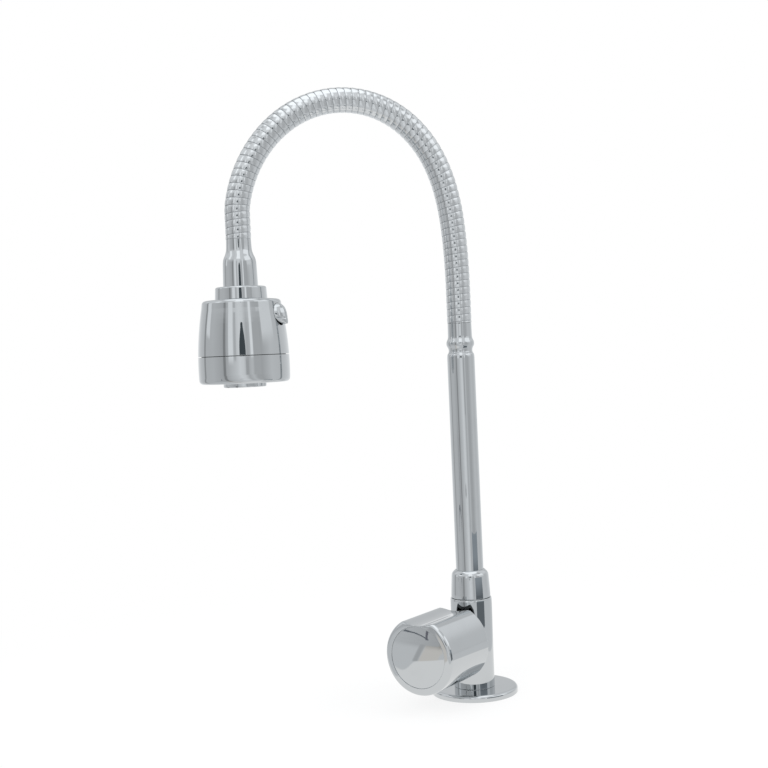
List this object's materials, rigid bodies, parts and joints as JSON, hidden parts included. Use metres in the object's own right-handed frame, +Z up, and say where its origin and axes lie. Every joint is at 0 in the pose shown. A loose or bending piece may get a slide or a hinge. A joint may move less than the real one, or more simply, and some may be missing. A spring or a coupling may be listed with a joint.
{
  "type": "kitchen tap",
  "caption": "Deck-mounted kitchen tap: side knob on a ceramic valve, swivelling riser, bendable ribbed hose spout and a swivelling head that switches between two jets.",
  "frame": {"origin": "centre of the flange's underside, where the tap stands on its deck", "axes": "+Z up along the riser, the spout reaches towards -X, the knob points level to the front left between -X and -Y"},
  "size_m": [0.176, 0.0804, 0.4007],
  "materials": {
    "body_chrome": "mirror-polished chrome plate on brass",
    "knob_chrome": "mirror-polished chrome plate",
    "hose_chrome": "polished chrome plate on a wound strip",
    "head_chrome": "mirror-polished chrome plate",
    "brass": "machined brass",
    "steel": "plain stainless steel",
    "black_rubber": "moulded black rubber",
    "ceramic": "lapped white ceramic",
    "white_plastic": "plain white plastic",
    "grey_plastic": "moulded grey plastic"
  },
  "bodies": {
    "deck_fitting": {"base_flange": "body_chrome", "flange_gasket": "black_rubber", "inlet_shank": "brass", "deck_washer": "black_rubber", "clamp_washer": "steel", "lock_nut": "brass", "body": "body_chrome", "seat_seal": "black_rubber", "fixed_disc": "ceramic", "bonnet": "brass", "bonnet_o_ring": "black_rubber", "thrust_washer": "white_plastic", "swivel_washer": "white_plastic", "swivel_collar": "body_chrome"},
    "handle": {"moving_disc": "ceramic", "spindle": "brass", "spindle_o_rings": "black_rubber", "spindle_clip": "steel", "knob_insert": "brass", "knob_shell": "knob_chrome", "knob_screw": "steel", "knob_cap": "knob_chrome"},
    "riser": {"riser_tube": "body_chrome", "riser_end_ring": "brass", "riser_o_ring": "black_rubber", "lower_ferrule": "body_chrome", "hose_link_01": "hose_chrome", "water_tube": "white_plastic"},
    "link_02": {"hose_link_02": "hose_chrome"},
    "link_03": {"hose_link_03": "hose_chrome"},
    "link_04": {"hose_link_04": "hose_chrome"},
    "link_05": {"hose_link_05": "hose_chrome"},
    "link_06": {"hose_link_06": "hose_chrome"},
    "link_07": {"hose_link_07": "hose_chrome"},
    "link_08": {"hose_link_08": "hose_chrome"},
    "link_09": {"hose_link_09": "hose_chrome"},
    "link_10": {"hose_link_10": "hose_chrome"},
    "link_11": {"hose_link_11": "hose_chrome"},
    "link_12": {"hose_link_12": "hose_chrome"},
    "link_13": {"hose_link_13": "hose_chrome"},
    "spout_end": {"hose_link_14": "hose_chrome", "head_neck": "head_chrome"},
    "head": {"neck_seal": "black_rubber", "head_collar": "head_chrome", "upper_shell": "head_chrome", "lower_shell": "head_chrome", "water_way": "grey_plastic", "lever_pin": "steel", "spray_plate": "grey_plastic", "aerator_housing": "head_chrome", "aerator_screen": "grey_plastic", "aerator_washer": "black_rubber"},
    "lever": {"switch_lever": "head_chrome"},
    "plunger": {"jet_plunger": "grey_plastic", "plunger_o_rings": "black_rubber"}
  },
  "joints": [
    {"name": "handle_turn", "type": "hinge", "parent": "deck_fitting", "child": "handle", "pos_m": [0, 0, 0.0332], "axis": [-0.7314, -0.682, 0], "range_deg": [0, 90]},
    {"name": "spout_swivel", "type": "hinge", "parent": "deck_fitting", "child": "riser", "pos_m": [0, 0, 0.0502], "axis": [0, 0, 1], "continuous": true},
    {"name": "spout_bend_lower", "type": "hinge", "parent": "riser", "child": "link_02", "pos_m": [0, 0, 0.2345], "axis": [0, -1, 0], "range_deg": [-12, 3], "deforming": ["water_tube"]},
    {"name": "lower_bend_02", "type": "hinge", "parent": "link_02", "child": "link_03", "pos_m": [-0.00042, 0, 0.25399], "axis": [0, -1, 0], "range_deg": [-12.01, 3.01]},
    {"name": "lower_bend_03", "type": "hinge", "parent": "link_03", "child": "link_04", "pos_m": [-0.00187, 0, 0.27344], "axis": [0, -1, 0], "range_deg": [-12.01, 3.01]},
    {"name": "lower_bend_04", "type": "hinge", "parent": "link_04", "child": "link_05", "pos_m": [-0.00525, 0, 0.29263], "axis": [0, -1, 0], "range_deg": [-12.01, 3.01]},
    {"name": "lower_bend_05", "type": "hinge", "parent": "link_05", "child": "link_06", "pos_m": [-0.01207, 0, 0.31085], "axis": [0, -1, 0], "range_deg": [-12.01, 3.01]},
    {"name": "lower_bend_06", "type": "hinge", "parent": "link_06", "child": "link_07", "pos_m": [-0.02335, 0, 0.32667], "axis": [0, -1, 0], "range_deg": [-12.01, 3.01]},
    {"name": "spout_bend_upper", "type": "hinge", "parent": "link_07", "child": "link_08", "pos_m": [-0.03905, 0, 0.33807], "axis": [0, -1, 0], "range_deg": [-12, 3]},
    {"name": "upper_bend_08", "type": "hinge", "parent": "link_08", "child": "link_09", "pos_m": [-0.05771, 0, 0.34334], "axis": [0, -1, 0], "range_deg": [-12.01, 3.01]},
    {"name": "upper_bend_09", "type": "hinge", "parent": "link_09", "child": "link_10", "pos_m": [-0.07705, 0, 0.34181], "axis": [0, -1, 0], "range_deg": [-12.01, 3.01]},
    {"name": "upper_bend_10", "type": "hinge", "parent": "link_10", "child": "link_11", "pos_m": [-0.09479, 0, 0.33392], "axis": [0, -1, 0], "range_deg": [-12.01, 3.01]},
    {"name": "upper_bend_11", "type": "hinge", "parent": "link_11", "child": "link_12", "pos_m": [-0.10923, 0, 0.32092], "axis": [0, -1, 0], "range_deg": [-12.01, 3.01]},
    {"name": "upper_bend_12", "type": "hinge", "parent": "link_12", "child": "link_13", "pos_m": [-0.11953, 0, 0.30443], "axis": [0, -1, 0], "range_deg": [-12.01, 3.01]},
    {"name": "upper_bend_13", "type": "hinge", "parent": "link_13", "child": "spout_end", "pos_m": [-0.12521, 0, 0.28584], "axis": [0, -1, 0], "range_deg": [-12.01, 3.01]},
    {"name": "head_swivel", "type": "hinge", "parent": "spout_end", "child": "head", "pos_m": [-0.12564, 0, 0.2335], "axis": [0, 0, 1], "continuous": true},
    {"name": "jet_switch", "type": "hinge", "parent": "head", "child": "lever", "pos_m": [-0.10938, -0.01076, 0.224], "axis": [0.5519, 0.8339, 0], "range_deg": [0, 8]},
    {"name": "plunger_lift", "type": "hinge", "parent": "lever", "child": "plunger", "pos_m": [-0.11855, -0.00469, 0.22323], "axis": [0.5519, 0.8339, 0], "range_deg": [-8.01, 0.01]}
  ],
  "couplings": [
    {"joint": "lower_bend_02", "follows": "spout_bend_lower", "ratio": 1},
    {"joint": "lower_bend_03", "follows": "spout_bend_lower", "ratio": 1},
    {"joint": "lower_bend_04", "follows": "spout_bend_lower", "ratio": 1},
    {"joint": "lower_bend_05", "follows": "spout_bend_lower", "ratio": 1},
    {"joint": "lower_bend_06", "follows": "spout_bend_lower", "ratio": 1},
    {"joint": "upper_bend_08", "follows": "spout_bend_upper", "ratio": 1},
    {"joint": "upper_bend_09", "follows": "spout_bend_upper", "ratio": 1},
    {"joint": "upper_bend_10", "follows": "spout_bend_upper", "ratio": 1},
    {"joint": "upper_bend_11", "follows": "spout_bend_upper", "ratio": 1},
    {"joint": "upper_bend_12", "follows": "spout_bend_upper", "ratio": 1},
    {"joint": "upper_bend_13", "follows": "spout_bend_upper", "ratio": 1},
    {"joint": "plunger_lift", "follows": "jet_switch", "ratio": -1}
  ]
}
